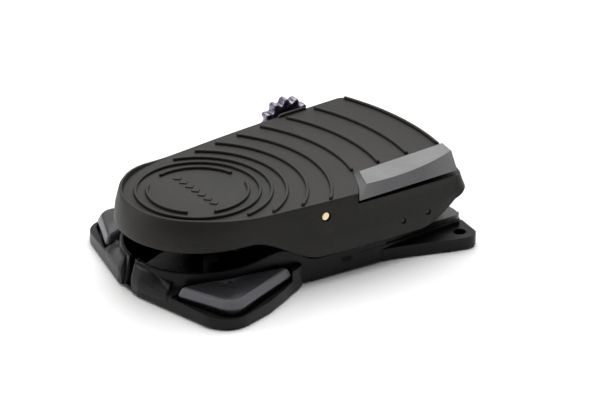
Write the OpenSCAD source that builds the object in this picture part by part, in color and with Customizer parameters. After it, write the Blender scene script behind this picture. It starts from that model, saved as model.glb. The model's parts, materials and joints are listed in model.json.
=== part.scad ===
// Rocking foot pedal with two heel buttons, one side button and a speed wheel.
// Origin: on the floor, on the centreline, straight below the rocking axis.
// +X is the side with the side button, +Y points to the toe, +Z is up. Millimetres.

/* [Tread plate] */
// Radius of the round heel end at tread height
heel_r = 65; // [55:0.5:80]
// Distance from the centre of the heel circle to the toe edge
toe_r = 216; // [180:1:240]
// Outward flare of the straight sides, degrees
flare = 6.4; // [0:0.1:10]
// Flare of the sides near the toe, degrees
toe_flare = 2.4; // [0:0.1:8]
// Rounding of the two toe corners in plan
toe_corner_r = 8; // [4:0.5:16]
// Height of the tread floor above the ground
floor_z = 70; // [60:0.5:85]
// Thickness of the tread floor
floor_t = 3; // [2:0.1:5]
// Thickness of the hanging skirt
skirt_t = 2.8; // [2:0.1:4]
// Draft of the skirt, degrees from vertical
draft = 6; // [1:0.5:12]
// Height of the raised lip around the heel
lip_h = 4.5; // [2:0.25:8]
// Skirt bottom above ground at the heel
skirt_heel_z = 48.5; // [40:0.5:55]
// Skirt bottom above ground at mid length
skirt_mid_z = 24.5; // [22:0.5:35]
// Skirt bottom above ground at the toe edge
skirt_toe_z = 54; // [45:0.5:62]

/* [Tread ribs] */
// Radius of the innermost rib
rib_r1 = 39; // [30:0.1:50]
// Spacing of the ribs near the heel
rib_pitch = 9.3; // [7:0.1:12]
// Width of a rib
rib_w = 2.8; // [1.5:0.1:5]
// Height of a rib above the floor
rib_h = 2.3; // [1:0.1:5]
// Number of ribs
rib_n = 10; // [6:1:12]

/* [Rocking joint] */
// Distance from the centre of the heel circle to the rocking axis
pivot_back = 72; // [60:0.5:90]
// Height of the rocking axis above ground
pivot_z = 57.5; // [50:0.5:62]
// Diameter of the rocking axle
axle_d = 6.35; // [5:0.05:10]
// Rocking travel each way, degrees
rock = 7.5; // [4:0.5:10]
// Radial running clearance of every turning or sliding fit
run_gap = 0.05; // [0.02:0.01:0.1]

/* [Base] */
// Radius of the heel wall at its top
base_heel_r = 62.8; // [55:0.2:66]
// Height of the heel rim of the base
rim_z = 29; // [24:0.5:34]
// Height of the side humps
hump_z = 35; // [30:0.5:38]
// Height of the deck
deck_z = 20.5; // [18:0.5:24]
// Underside of the base, above the feet
base_z = 1.5; // [1:0.25:5]
// Wall thickness of the base
wall_t = 3; // [2:0.1:4]
// Toe end of the deck, from the centre of the heel circle
deck_end = 210; // [190:1:215]
// Half width of the deck
deck_hw = 74.6; // [70:0.2:78]

/* [Mounting tabs] */
// Sideways distance of each mounting hole from the centreline
tab_x = 85; // [78:0.5:88]
// Distance of each mounting hole from the centre of the heel circle
tab_y = 199.3; // [190:0.1:204]
// Diameter of the mounting holes
hole_d = 5.2; // [4:0.1:7]
// Diameter of the recess for the screw head
head_d = 10.4; // [8:0.1:13]
// Height of the top of the mounting tabs
tab_z = 11.5; // [7:0.5:14]

/* [Heel buttons] */
// Corner rounding of the base pods
pod_r = 24.7; // [18:0.1:28]
// Travel of the heel buttons
heel_travel = 2.5; // [1:0.25:3]
// Top height of the button cap along its inner edge
cap_z = 23; // [20:0.1:25]

/* [Side button] */
// Inner edge of the side button, from the centreline
wedge_x = 44; // [38:0.5:50]
// Travel of the side button
side_travel = 2; // [1:0.25:2]

/* [Speed wheel] */
// Distance of the wheel axis from the centre of the heel circle
wheel_y = 145.5; // [130:0.5:150]
// Height of the wheel axis
wheel_z = 55.5; // [50:0.5:60]
// Tip radius of the wheel
wheel_r = 24.5; // [20:0.25:27]
// Width of the wheel
wheel_w = 9; // [6:0.5:12]
// Number of flutes
wheel_teeth = 13; // [9:1:20]

/* [Hidden] */
$fn = 48;

black = [0.08, 0.08, 0.085];
tread_grey = [0.2, 0.19, 0.18];
cap_grey = [0.42, 0.42, 0.44];
chrome = [0.72, 0.72, 0.78];
steel = [0.6, 0.61, 0.63];
brass = [0.8, 0.62, 0.3];
rubber = [0.05, 0.05, 0.05];
board_green = [0.08, 0.3, 0.16];

// ---------- plan outlines ----------
function smooth(t) = let(u = max(0, min(1, t))) u * u * (3 - 2 * u);
// half width of the tread at distance y from the centre of the heel circle
bend_a = 60;
bend_b = 140;
function slope(y) = let(u = max(0, min(1, (y - bend_a) / (bend_b - bend_a))))
  tan(flare) + (tan(toe_flare) - tan(flare)) * u;
function half_w(y) = heel_r / cos(flare) + y * tan(flare)
  + (tan(toe_flare) - tan(flare)) * (y < bend_a ? 0
     : y < bend_b ? pow(y - bend_a, 2) / (2 * (bend_b - bend_a))
     : (bend_b - bend_a) / 2 + (y - bend_b));
// every outline entry is [x, y, normal x, normal y], right side from heel to toe
corner_x = half_w(190) - toe_corner_r;
corner_y = sqrt(pow(toe_r - toe_corner_r, 2) - corner_x * corner_x);
corner_a = atan2(corner_y, corner_x);
side_n = 32;
function unit(v) = v / norm(v);
tread_right = concat(
  [for (i = [0 : 13]) let(a = -90 + i * (90 - flare) / 14) [heel_r * cos(a), heel_r * sin(a), cos(a), sin(a)]],
  [for (i = [0 : side_n]) let(y = -heel_r * sin(flare) + i * (corner_y + heel_r * sin(flare)) / side_n,
     n = unit([1, -slope(y)])) [half_w(y), y, n[0], n[1]]],
  [for (i = [1 : 6]) let(a = -toe_flare + i * (corner_a + toe_flare) / 6)
     [corner_x + toe_corner_r * cos(a), corner_y + toe_corner_r * sin(a), cos(a), sin(a)]],
  [for (i = [1 : 7]) let(a = corner_a + i * (90 - corner_a) / 8) [toe_r * cos(a), toe_r * sin(a), cos(a), sin(a)]]);
function mirrored(side) = [for (i = [len(side) - 1 : -1 : 1]) [-side[i][0], side[i][1], -side[i][2], side[i][3]]];
tread = concat(tread_right, [[0, toe_r, 0, 1]], mirrored(tread_right));
function at_off(p, off, z) = [p[0] + off * p[2], p[1] + off * p[3], z];
function flat_off(line, off) = [for (p = line) [p[0] + off * p[2], p[1] + off * p[3]]];

// ---------- heights along the length ----------
function skirt_z(y) = min(skirt_toe_z, skirt_heel_z + (skirt_mid_z - skirt_heel_z) * smooth((y - 5) / 63)
  + (y > 160 ? 26 * pow((y - 160) / 45, 1.7) : 0));
// the toe face of the skirt leans out further than its sides
function kick(p, z) = 0.22 * (floor_z - z) * max(0, p[3]);
function skirt_off(z) = (floor_z - z) * tan(draft);
function lip(y) = lip_h * (1 - smooth((y + 40) / 60));
// the lip leans inward round the heel
function lean(y) = 2.6 * lip(y) / lip_h;
function wall_top(y) = y < 33 ? rim_z + (hump_z - rim_z) * smooth(y / 33)
  : hump_z + (deck_z - hump_z) * smooth((y - 33) / 35);

// ---------- lofted solids ----------
function band(n, a, b) = [for (i = [0 : n - 1]) let(j = (i + 1) % n)
  each [[a * n + i, b * n + i, b * n + j], [a * n + i, b * n + j, a * n + j]]];
module loft(rows, low, high) {
  n = len(rows[0]);
  m = len(rows);
  polyhedron(concat([for (r = rows) each r], [low, high]),
    concat([for (k = [0 : m - 2]) each band(n, k, k + 1)],
      [for (i = [0 : n - 1]) [m * n, i, (i + 1) % n]],
      [for (i = [0 : n - 1]) [m * n + 1, (m - 1) * n + (i + 1) % n, (m - 1) * n + i]]), convexity = 6);
}
module loop_loft(rows) {
  n = len(rows[0]);
  m = len(rows);
  polyhedron([for (r = rows) each r], [for (k = [0 : m - 1]) each band(n, k, (k + 1) % m)], convexity = 6);
}
module slab(pts, z0, z1) translate([0, 0, z0]) linear_extrude(z1 - z0) polygon(pts);
module box(x0, x1, y0, y1, z0, z1) translate([x0, y0, z0]) cube([x1 - x0, y1 - y0, z1 - z0]);
module rod_z(x, y, z0, z1, d) translate([x, y, z0]) cylinder(d = d, h = z1 - z0);
module rod_x(x0, x1, y, z, d) translate([x0, y, z]) rotate([0, 90, 0]) cylinder(d = d, h = x1 - x0);
module both_sides() { children(); mirror([1, 0, 0]) children(); }
module placed() translate([0, -pivot_back, 0]) children();

// round wire coil standing on z = 0
module coil(d, wire, h, turns) {
  steps = 16;
  sides = 6;
  n = turns * steps;
  r = (d - wire) / 2;
  function centre(i) = [r * cos(i * 360 / steps), r * sin(i * 360 / steps), wire / 2 + (h - wire) * i / n];
  pts = [for (i = [0 : n]) let(a = i * 360 / steps, c = centre(i)) for (k = [0 : sides - 1])
    let(b = k * 360 / sides) c + wire / 2 * [cos(b) * cos(a), cos(b) * sin(a), sin(b)]];
  polyhedron(pts, concat(
    [for (i = [0 : n - 1]) for (k = [0 : sides - 1]) let(q = (k + 1) % sides)
      each [[i * sides + k, (i + 1) * sides + k, (i + 1) * sides + q],
            [i * sides + k, (i + 1) * sides + q, i * sides + q]]],
    [[for (k = [0 : sides - 1]) k]], [[for (k = [sides - 1 : -1 : 0]) n * sides + k]]), convexity = 10);
}

// ---------- shared positions ----------
axle_ends = half_w(pivot_back) + skirt_off(pivot_z);
post_x = 55;
post_t = 7;
spring_y = 31;
spring_d = 14;
stop_y = 70;
stop_x = 15;
heel_post_z = 25;
toe_post_z = 39;
stop_drop = stop_y * sin(rock);
tray_z = 61.4;
tray_t = 2.4;
wedge_low = 65.4;
wedge_arc = 127.5;
wedge_out = 79.8;
wedge_side = 199;
gap = 0.2;

// ---------- tread plate ----------
plate_rows = [
  [for (p = tread) at_off(p, skirt_off(floor_z - floor_t) - skirt_t, floor_z - floor_t)],
  [for (p = tread) let(z = skirt_z(p[1])) at_off(p, skirt_off(z) + kick(p, z) - skirt_t, z)],
  [for (p = tread) let(z = skirt_z(p[1])) at_off(p, skirt_off(z) + kick(p, z), z)],
  [for (p = tread) at_off(p, 0.35, floor_z - 3.3)],
  [for (p = tread) at_off(p, -lean(p[1]), floor_z + lip(p[1]) - 0.8)],
  [for (p = tread) at_off(p, -0.8 - lean(p[1]), floor_z + lip(p[1]))],
  [for (p = tread) at_off(p, -2.2 - lean(p[1]), floor_z + lip(p[1]))],
  [for (p = tread) at_off(p, -3.2 - lean(p[1]), floor_z)]];

function rib_radius(k) = rib_r1 + max(rib_pitch * k, 5.7 * k + 1.495 * k * k);
// gap between the ribs and the edge, larger on the wheel side
function edge_gap(y) = max(2.6, 5.6 - 0.04 * y);
function rib_end(r, more, n = 12, a = 70) = n == 0 ? a
  : rib_end(r, more, n - 1, asin(min(0.99, (half_w(r * cos(a)) - edge_gap(r * cos(a)) - more) / r)));
module rib(r, a0, a1) rotate([0, 0, a0]) rotate_extrude(angle = a1 - a0, $fn = 180)
  polygon([[r, floor_z - 0.6], [r + rib_w, floor_z - 0.6], [r + rib_w - 0.35, floor_z + rib_h],
    [r + 0.35, floor_z + rib_h]]);
module ribs() {
  for (a = [-15, 105, 225]) rib(rib_r1, a, a + 90);
  rotate_extrude($fn = 180) polygon([[rib_radius(1), floor_z - 0.6], [rib_radius(1) + rib_w, floor_z - 0.6],
    [rib_radius(1) + rib_w - 0.35, floor_z + rib_h], [rib_radius(1) + 0.35, floor_z + rib_h]]);
  for (k = [2 : rib_n - 1]) let(r = rib_radius(k), right_e = k >= 6 ? acos((wedge_x - 3.6) / r) : 90 - rib_end(r, 0))
    rib(r, right_e, 90 + rib_end(r, 6 - 0.7 * max(0, k - 5)));
}
// plain row of chevrons where the tread carries its badge
module badge() for (i = [-3 : 3]) translate([i * 8.8, -1, floor_z - 0.4])
  linear_extrude(1.3) polygon([[-3, -3.6], [-0.7, -3.6], [2.6, 0], [-0.7, 3.6], [-3, 3.6], [0.3, 0]]);

// plan of the tray that carries the side button
module tray_plan(grow) difference() {
  translate([wedge_x - grow, 80]) square([60, 150]);
  circle(r = wedge_arc - grow, $fn = 180);
}
module tray() {
  translate([0, 0, tray_z - tray_t]) linear_extrude(tray_t) intersection() {
    tray_plan(2.4);
    polygon(flat_off(tread, -1));
  }
  translate([0, 0, tray_z - 0.5]) linear_extrude(floor_z - 0.3 - tray_z + 0.5) intersection() {
    difference() { tray_plan(2.4); tray_plan(0); }
    polygon(flat_off(tread, -1));
  }
}
// low guard beside the speed wheel
module wheel_guard() translate([-half_w(wheel_y) + 0.4, wheel_y, floor_z - 1]) rotate([90, 0, 90 + 2.4])
  linear_extrude(2.4) polygon([[-15.5, 0], [-14, 2.4], [-11.5, 3.4], [11.5, 3.4], [14, 2.4], [15.5, 0]]);

module foot_plate() placed() color(tread_grey) difference() {
  union() {
    difference() {
      loft(plate_rows, [0, 70, floor_z - floor_t], [0, 70, floor_z]);
      translate([0, 0, tray_z]) linear_extrude(40) tray_plan(0);
    }
    tray();
    difference() { ribs(); translate([wedge_x - 1, 100, floor_z - 2]) cube([60, 120, 10]); }
    badge();
    wheel_guard();
    // axle bosses and their gussets on the skirt
    both_sides() {
      rod_x(axle_ends - 11.5, axle_ends - 1.2, pivot_back, pivot_z, 15);
      box(axle_ends - 9, axle_ends - 3, pivot_back - 2, pivot_back + 2, pivot_z + 6, floor_z - floor_t + 0.5);
    }
    // spring cups
    for (s = [-1, 1]) difference() {
      rod_z(0, pivot_back + s * spring_y, floor_z - floor_t - 5, floor_z - floor_t + 0.5, spring_d + 5);
      rod_z(0, pivot_back + s * spring_y, floor_z - floor_t - 6, floor_z - floor_t - 0.02, spring_d + 1);
    }
    // posts that meet the stop pads
    for (x = [-stop_x, stop_x]) {
      rod_z(x, pivot_back - stop_y, heel_post_z, floor_z - floor_t + 0.5, 9);
      rod_z(x, pivot_back + stop_y, toe_post_z, floor_z - floor_t + 0.5, 9);
    }
    // stiffening ribs under the floor
    for (x = [-40, 40]) box(x - 1, x + 1, -20, 112, floor_z - floor_t - 9, floor_z - floor_t + 0.5);
    box(-40, 40, 20, 22, floor_z - floor_t - 9, floor_z - floor_t + 0.5);
    box(-40, 40, 118, 120, floor_z - floor_t - 7, floor_z - floor_t + 0.5);
    // pins of the side button stand in these bosses
    for (q = side_pin_at) rod_x(half_w(q[0]) - 7, half_w(q[0]) + skirt_off(q[1]) - 1, q[0], q[1], 8);
    // bearing boss and encoder pads behind the speed wheel
    rod_x(-half_w(wheel_y) + 0.2, -half_w(wheel_y) + 9, wheel_y, wheel_z, 15);
  }
  // axle bore, with a shallow recess at each end
  rod_x(-axle_ends - 2, axle_ends + 2, pivot_back, pivot_z, axle_d);
  both_sides() rod_x(axle_ends - 0.9, axle_ends + 3, pivot_back, pivot_z, axle_d + 2.6);
  for (q = side_pin_at) rod_x(half_w(q[0]) - 6.5, half_w(q[0]) + 10, q[0], q[1], 3.8);
  rod_x(-half_w(wheel_y) - 10, -half_w(wheel_y) + 10, wheel_y, wheel_z, 10);
  // guides of the side button
  for (q = guide_at) rod_z(q[0], q[1], tray_z - tray_t - 1, tray_z + 1, 4 + 2 * run_gap);
}
side_pin_at = [[143.7, 35.9], [168, 37.6]];
guide_at = [[58, 132], [58, 186]];

module pivot_axle() placed() color(brass)
  rod_x(-axle_ends + 0.8, axle_ends - 0.8, pivot_back, pivot_z, axle_d);
module axle_clips() placed() color(steel) both_sides() difference() {
  rod_x(post_x - post_t / 2 - 2.4, post_x - post_t / 2 - 1.4, pivot_back, pivot_z, 12);
  rod_x(post_x - 10, post_x, pivot_back, pivot_z, axle_d);
  box(post_x - 10, post_x, pivot_back - 2, pivot_back + 2, pivot_z - 8, pivot_z);
}
module pivot_bushes() placed() color(brass) both_sides() difference() {
  union() {
    rod_x(post_x - post_t / 2, post_x + post_t / 2, pivot_back, pivot_z, 10);
    rod_x(post_x + post_t / 2, post_x + post_t / 2 + 1.2, pivot_back, pivot_z, 13);
  }
  rod_x(post_x - 10, post_x + 10, pivot_back, pivot_z, axle_d + 2 * run_gap);
}
module side_pins() placed() color(black) for (q = side_pin_at)
  rod_x(half_w(q[0]) - 6.4, half_w(q[0]) + skirt_off(q[1]) - 0.9, q[0], q[1], 3.8);
// pill magnet pressed on the axle end of the angle sensor
module angle_magnet() placed() color(steel) difference() {
  rod_x(-3, 3, pivot_back, pivot_z, 12);
  rod_x(-4, 4, pivot_back, pivot_z, axle_d);
}

// ---------- side button ----------
// corners of its bright upper face: inner heel, outer heel, outer toe, inner toe
wedge_face = [[47, 124.3, 72], [68.5, 116, 71.3], [60, 208.2, 72.4], [46, 209.5, 73.6]];
function mix(a, b, t) = a + (b - a) * t;
function wedge_row(t) = let(outer = mix(wedge_face[1], wedge_face[2], t),
    inner = mix(wedge_face[0], wedge_face[3], t), sag = 24 * t * (1 - t))
  [[wedge_x, inner[1], inner[2] - 1.2], inner, [outer[0] + sag, outer[1], outer[2]],
   [wedge_out, mix(101, wedge_side, t), wedge_low], [wedge_x, mix(118, 210.4, t), wedge_low]];
wedge_heel = [[wedge_x, 112, 66.9], [wedge_x + 0.2, 112, 67], [wedge_out - 0.3, 99.9, wedge_low + 0.2],
  [wedge_out, 99.6, wedge_low], [wedge_x, 112, wedge_low]];
module side_button() placed() color(cap_grey) difference() {
  loft(concat([wedge_heel], [for (i = [0 : 6]) wedge_row(i / 6)]), [60, 110, wedge_low + 0.5], [60, 203.5, 67]);
  cylinder(r = wedge_arc + 0.9, h = 100, $fn = 180);
  // hollow underneath, with a boss for each guide and one over the switch
  difference() {
    slab([[46.4, 127], [69, 117.5], [69.5, 194], [46.4, 204]], wedge_low - 1, 68);
    for (q = guide_at) rod_z(q[0], q[1], 60, 80, 7);
    rod_z(62, 160, 66.4, 80, 6);
  }
  for (q = guide_at) rod_z(q[0], q[1], 60, 68.4, 4);
}
module button_guides() placed() color(steel) for (q = guide_at)
  rod_z(q[0], q[1], tray_z - tray_t - side_travel - 2.5, 68.4, 4);
module side_gasket() placed() color(rubber) translate([0, 0, tray_z]) linear_extrude(0.8) intersection() {
  difference() { tray_plan(-0.5); tray_plan(-3.5); }
  polygon(flat_off(tread, -1.6));
}
module side_switch() placed() color([0.12, 0.12, 0.13]) {
  box(56, 68, 154, 166, tray_z, tray_z + 1.2);
  rod_z(62, 160, tray_z + 1.2, tray_z + 2.6, 5);
}
module side_spring() placed() color(steel) translate([62, 174, tray_z]) coil(7, 0.8, 6.6, 5);

// ---------- speed wheel ----------
wheel_x = half_w(wheel_y) + skirt_off(wheel_z - wheel_r) + 1.6;
module speed_wheel() placed() color(chrome) translate([-wheel_x, wheel_y, wheel_z]) rotate([0, -90, 0])
  difference() {
    union() {
      linear_extrude(wheel_w) polygon([for (i = [0 : wheel_teeth * 12 - 1]) let(a = i * 30 / wheel_teeth,
        r = wheel_r - 2.3 + 2.3 * cos(i * 30)) [r * cos(a), r * sin(a)]]);
      translate([0, 0, wheel_w - 0.02]) cylinder(r1 = 12, r2 = 9.5, h = 1.6);
    }
    translate([0, 0, wheel_w - 2]) difference() {
      cylinder(r1 = 18, r2 = 19, h = 3);
      translate([0, 0, -1]) cylinder(r = 12, h = 6);
    }
    translate([0, 0, -1]) difference() { cylinder(r = 17, h = 4); cylinder(r = 8, h = 4); }
    translate([0, 0, -1]) cylinder(d = 6, h = wheel_w + 4);
    translate([0, 0, wheel_w - 0.6]) cylinder(d = 8, h = 4);
  }
module wheel_shaft() placed() color(steel)
  rod_x(-wheel_x - wheel_w + 0.6, -half_w(wheel_y) + 24, wheel_y, wheel_z, 6);
module wheel_screw() placed() color(steel) translate([-wheel_x - wheel_w + 0.6, wheel_y, wheel_z])
  rotate([0, -90, 0]) difference() {
    cylinder(d = 7.4, h = 1.9);
    translate([-0.5, -3, 1.1]) cube([1, 6, 2]);
  }
module wheel_bush() placed() color(black) difference() {
  rod_x(-wheel_x + 0.8, -half_w(wheel_y) + 9, wheel_y, wheel_z, 10);
  rod_x(-wheel_x - 1, -half_w(wheel_y) + 12, wheel_y, wheel_z, 6 + 2 * run_gap);
}
module wheel_encoder() placed() color([0.1, 0.12, 0.3]) difference() {
  union() {
    rod_x(-half_w(wheel_y) + 11, -half_w(wheel_y) + 20, wheel_y, wheel_z, 17);
    box(-half_w(wheel_y) + 9.4, -half_w(wheel_y) + 11.2, wheel_y - 10, wheel_y + 10, wheel_z - 10, floor_z - floor_t);
  }
  rod_x(-half_w(wheel_y), -half_w(wheel_y) + 40, wheel_y, wheel_z, 6 + 2 * run_gap);
}

// ---------- base outline ----------
function base_hw(y) = base_heel_r / cos(flare) + min(y, 60) * tan(flare)
  + max(0, min(y, 120) - 60) * 0.075;
function recess(y) = 4.2 * smooth((y - 132) / 6);
base_right = concat(
  [for (i = [0 : 13]) let(a = -90 + i * (90 - flare) / 14)
     [base_heel_r * cos(a), base_heel_r * sin(a), cos(a), sin(a)]],
  [for (i = [0 : 40]) let(y = -base_heel_r * sin(flare) + i * (deck_end - 5 + base_heel_r * sin(flare)) / 40)
     [base_hw(y) - recess(y), y, cos(flare), y < 60 ? -sin(flare) : 0]],
  [for (i = [1 : 5]) let(a = i * 18) [base_hw(deck_end) - recess(deck_end) - 5 + 5 * cos(a),
     deck_end - 5 + 5 * sin(a), cos(a), sin(a)]]);
base_line = concat(base_right, [[0, deck_end, 0, 1]], mirrored(base_right));
function foot_off(y) = 0.6 + 3 * (1 - smooth(y / 50));
base_rows = [
  [for (p = base_line) at_off(p, foot_off(p[1]), base_z)],
  [for (p = base_line) at_off(p, 0, wall_top(p[1]) - 0.8)],
  [for (p = base_line) at_off(p, -0.8, wall_top(p[1]))],
  [for (p = base_line) at_off(p, -wall_t, wall_top(p[1]))],
  [for (p = base_line) at_off(p, -wall_t, base_z)]];
function heelward(line, y1) = [for (p = line) if (p[1] < y1) p];

// ---------- heel pods and their buttons, right side ----------
pod_c = [76.6, -25.9];
function arc(c, r, a0, a1, n) = [for (i = [0 : n]) let(a = a0 + (a1 - a0) * i / n) c + r * [cos(a), sin(a)]];
pod_plan = concat([[18, -50], [14, -66.8]], arc(pod_c, pod_r, -76, 14, 16), [[94.6, 4], [85, 25.5], [71.8, 51], [60, 52]]);
function pod_top(p) = 16.4 - 0.06 * p[0] + 0.01 * p[1];
// sloping ledge between the heel slot and the button
ledge_plan = [[14.6, -66.2], [49, -57.7], [52, -45], [16, -50]];
ledge_top = [14.4, 14.2, 18.3, 18.3];
frame_plan = [[60, 28], [78.5, 37], [77, 43], [72.6, 50.5], [60, 51.5]];
module slant_prism(pts, z0, tops) {
  n = len(pts);
  polyhedron(concat([for (p = pts) [p[0], p[1], z0]], [for (i = [0 : n - 1]) [pts[i][0], pts[i][1], tops[i]]]),
    concat([[for (i = [0 : n - 1]) i]], [[for (i = [n - 1 : -1 : 0]) n + i]],
      [for (i = [0 : n - 1]) let(j = (i + 1) % n) [i, n + i, n + j, j]]), convexity = 4);
}
// inner edge of the caps runs along this direction
edge_n = [0.96, -0.278];
function across(p) = p[0] * edge_n[0] + p[1] * edge_n[1] - 65;
function cap_top(p) = cap_z - 0.03 * across(p);
cap_low = 14.8;
// corner discs of the cap: [x, y, radius] at its lower edge and at its upper face
low_discs = [[54.2, -51.2, 2.6], [73.6, 35, 3], [83, -25.5, 15]];
top_discs = [[55.6, -48.6, 1.4], [73.4, 31, 1.8], [82.4, -24.8, 12.2]];
tilt = atan(0.03);
module disc(p, r, z, lean) translate([p[0], p[1], z]) rotate([0, 0, -16.15]) rotate([0, lean, 0])
  translate([0, 0, -0.1]) cylinder(r = r, h = 0.1, $fn = 32);
module cap_hull(grow, down, bottom) hull() {
  for (p = low_discs) disc(p, p[2] + grow, bottom, 0);
  for (p = low_discs) disc(p, p[2] + grow, cap_low + 1.6 - down, 0);
  for (p = top_discs) disc(p, max(0.4, p[2] + grow), cap_top(p) - down, tilt);
}
// plan of the button, cut back by the curved base wall
module pocket_plan(grow, off_wall) difference() {
  hull() for (p = low_discs) translate([p[0], p[1]]) circle(r = p[2] + grow, $fn = 48);
  polygon(flat_off(base_line, off_wall));
}
guide_posts = [[63.5, -34], [74.5, 12]];
switch_at = [77, -17];
module icon() {
  // three round blades on a hub
  translate([73, -20, cap_top([73, -20]) - 0.3]) rotate([0, 0, -16.15]) rotate([0, tilt, 0]) linear_extrude(0.7) {
    circle(r = 1.3, $fn = 20);
    for (a = [30, 150, 270]) rotate(a) translate([3.6, 0]) scale([1.35, 0.8]) circle(r = 2, $fn = 20);
  }
}
module right_cap_body() {
  difference() {
    cap_hull(0, 0, cap_low);
    difference() {
      cap_hull(-2.2, 2.2, 5);
      slab(flat_off(base_line, 5.1), 0, 60);
    }
    slab(flat_off(base_line, 2.9), 0, 60);
  }
  icon();
}
module right_plunger_body() difference() {
  translate([0, 0, 8.5]) linear_extrude(6) pocket_plan(-1.6, 4.5);
  for (q = guide_posts) rod_z(q[0], q[1], 5, 14.6, 4 + 2 * run_gap);
  rod_z(switch_at[0], switch_at[1], 5, 12.5, 9);
}
module right_switch_body() {
  difference() {
    box(66, 86, -27, -7, base_z + 1.6, base_z + 2.6);
    rod_z(63.5, -34, 3, 10, 5);
  }
  rod_z(switch_at[0], switch_at[1], base_z + 2.6, base_z + 4, 4);
}
module right_cap() placed() color(cap_grey) right_cap_body();
module left_cap() placed() color(cap_grey) mirror([1, 0, 0]) right_cap_body();
module right_plunger() placed() color(black) right_plunger_body();
module left_plunger() placed() color(black) mirror([1, 0, 0]) right_plunger_body();
module right_switch() placed() color(board_green) right_switch_body();
module left_switch() placed() color(board_green) mirror([1, 0, 0]) right_switch_body();
module pod_spring() translate([switch_at[0], switch_at[1], base_z + 2.6]) coil(8, 0.9, 12.5 - base_z - 2.6, 4);
module right_spring() placed() color(steel) pod_spring();
module left_spring() placed() color(steel) mirror([1, 0, 0]) pod_spring();

// ---------- base housing ----------
tab_plan = [[62, 128], [75.2, 128], [76.7, 136], [82, 153], [88, 171], [93.5, 186], [97, 199], [97.3, 204],
  [95.5, 208], [91.5, 211], [70, 214], [60, 211], [60, 196]];
bay_y0 = 66;
bay_y1 = 200;
cover_plan = [[-62, bay_y0 + 2.3], [62, bay_y0 + 2.3], [62, bay_y1 - 2.3], [-62, bay_y1 - 2.3]];
cover_bolts = [[-56, 75], [56, 75], [-56, 192], [56, 192]];
flange = [for (p = base_line) if (p[1] > 84) [p[0] + sign(p[0]) * (recess(p[1]) + 0.4 * smooth((p[1] - 84) / 10)),
  p[1] + (p[1] > deck_end - 0.1 ? 0.5 : 0)]];
foot_pads = [[86, -30, 22], [0, -58, 12]];
module base_housing() placed() color(black) difference() {
  union() {
    loop_loft(base_rows);
    both_sides() {
      slant_prism(pod_plan, base_z, [for (p = pod_plan) pod_top(p)]);
      slant_prism(ledge_plan, base_z, ledge_top);
      slab(frame_plan, base_z, deck_z - 0.2);
      slab(tab_plan, base_z, tab_z);
    }
    slab(flange, deck_z - 6, deck_z);
    slab([for (p = flange) [p[0] - 1.8 * sign(p[0]), p[1]]], deck_z - 9, deck_z - 5.9);
    intersection() {
      slab(flat_off(base_line, -1), base_z, deck_z);
      union() {
        box(-90, 90, 58, 210, deck_z - wall_t, deck_z);
        box(-90, 90, 58, 61, base_z, deck_z);
        box(-90, 90, -70, 61, base_z, base_z + wall_t);
        box(-90, 90, 61, bay_y0 + 2, base_z, base_z + wall_t);
        box(-90, 90, bay_y1 - 2, 210, base_z, base_z + wall_t);
        both_sides() box(62.3, 90, 58, 210, base_z, base_z + wall_t);
      }
    }
    // posts of the rocking axle
    both_sides() {
      rod_x(post_x - post_t / 2, post_x + post_t / 2, pivot_back, pivot_z, 17);
      translate([post_x - post_t / 2, 0, 0]) rotate([90, 0, 90]) linear_extrude(post_t)
        polygon([[pivot_back - 15, deck_z - 1], [pivot_back + 15, deck_z - 1], [pivot_back + 8.2, pivot_z + 2],
          [pivot_back - 8.2, pivot_z + 2]]);
      for (y = [pivot_back - 10, pivot_back + 7]) box(38, post_x, y, y + 3, deck_z - 1, deck_z + 14);
    }
    // spring seats on the deck and in the well
    rod_z(0, pivot_back + spring_y, deck_z - 1, deck_z + 3, spring_d - 4.4);
    rod_z(0, pivot_back - spring_y, base_z + 1, base_z + wall_t + 3, spring_d - 4.4);
    // small stop beside the heel slot
    intersection() {
      slab(flat_off(base_line, 0.2), base_z, rim_z + 0.8);
      box(3, 8, -70, -base_heel_r + 3.6, base_z, rim_z + 0.8);
    }
  }
  // well that the heel of the pedal sinks into
  slab(heelward(flat_off(base_line, -wall_t - 0.3), 59), base_z + wall_t, 60);
  // bay for battery and electronics, closed from below
  box(-62.5, 62.5, bay_y0, bay_y1, base_z - 1, base_z + 2.5);
  difference() {
    box(-58, 58, bay_y0 + 5, bay_y1 - 5, base_z - 1, deck_z - wall_t);
    for (q = cover_bolts) rod_z(q[0], q[1], base_z + 2.5, deck_z, 8);
  }
  // pockets of the heel buttons
  both_sides() difference() {
    translate([0, 0, base_z + 1.6]) linear_extrude(40) pocket_plan(1.5, 2.2);
    for (q = guide_posts) rod_z(q[0], q[1], base_z, 12, 4);
  }
  // mounting holes
  both_sides() {
    rod_z(tab_x, tab_y, base_z - 1, 30, hole_d);
    rod_z(tab_x, tab_y, base_z + 3.4, 30, head_d);
  }
  both_sides() rod_x(post_x - 10, post_x + 10, pivot_back, pivot_z, 10);
  // heel slot with a chamfered side
  box(-4.2, 4.2, -80, -base_heel_r + 5, base_z + 3, 40);
  slab([[-9, -70], [-4, -70], [-4, -62.2]], base_z + 3, 40);
  // sockets of the rubber feet
  for (x = [-82.5, 82.5]) rod_z(x, -27.5, base_z - 1, base_z + 0.8, 33);
  rod_z(0, -57.5, base_z - 1, base_z + 1.2, 9);
  for (x = [-86, 86]) rod_z(x, 184, base_z - 1, base_z + 1.2, 9);
  for (q = cover_bolts) rod_z(q[0], q[1], base_z + 1, base_z + 9, 2.6);
}
module bottom_cover() placed() color(black) difference() {
  slab(cover_plan, base_z, base_z + 2.3);
  box(-30, 30, 96, 130, base_z - 1, base_z + 5);
  for (q = cover_bolts) rod_z(q[0], q[1], base_z - 1, base_z + 5, 3.4);
  for (q = cover_bolts) translate([q[0], q[1], base_z - 0.01]) cylinder(d1 = 6.4, d2 = 3.4, h = 1.5);
}
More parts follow.
